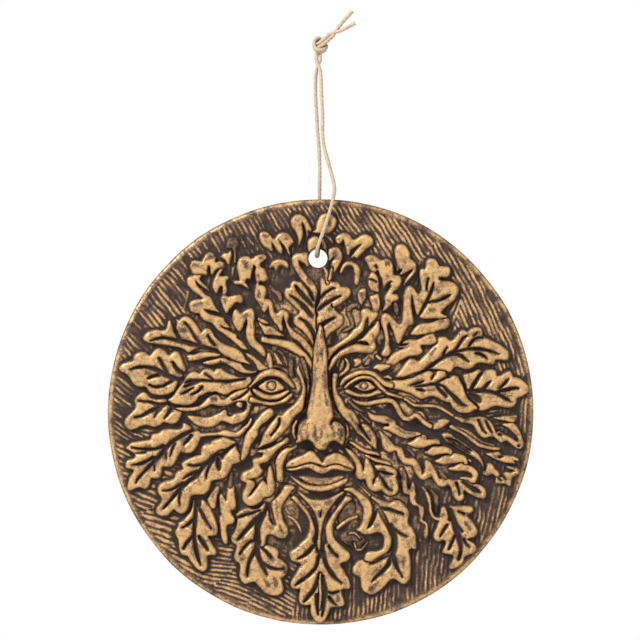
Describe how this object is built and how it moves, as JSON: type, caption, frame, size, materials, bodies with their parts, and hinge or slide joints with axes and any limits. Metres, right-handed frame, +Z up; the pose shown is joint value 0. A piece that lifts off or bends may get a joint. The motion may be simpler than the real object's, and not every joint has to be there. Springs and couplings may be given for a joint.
{
  "type": "green man wall plaque",
  "caption": "Round bronzed clay wall plaque with a leaf-faced green man in relief, hung by a knotted loop of twine through a hole.",
  "frame": {"origin": "the nail's place inside the loop of twine, 5.5 mm under the middle of the knot", "axes": "+Z up, -Y out of the carved face, +Y into the wall, +X to the right when the face is looked at"},
  "size_m": [0.18, 0.0168, 0.2605],
  "materials": {
    "bronzed_clay": "dark brown stained clay, rubbed with old gold on the raised carving, satin",
    "jute": "twisted natural jute, matt"
  },
  "bodies": {
    "root": {"plaque": "bronzed_clay", "hanging_twine": "jute"}
  },
  "joints": []
}
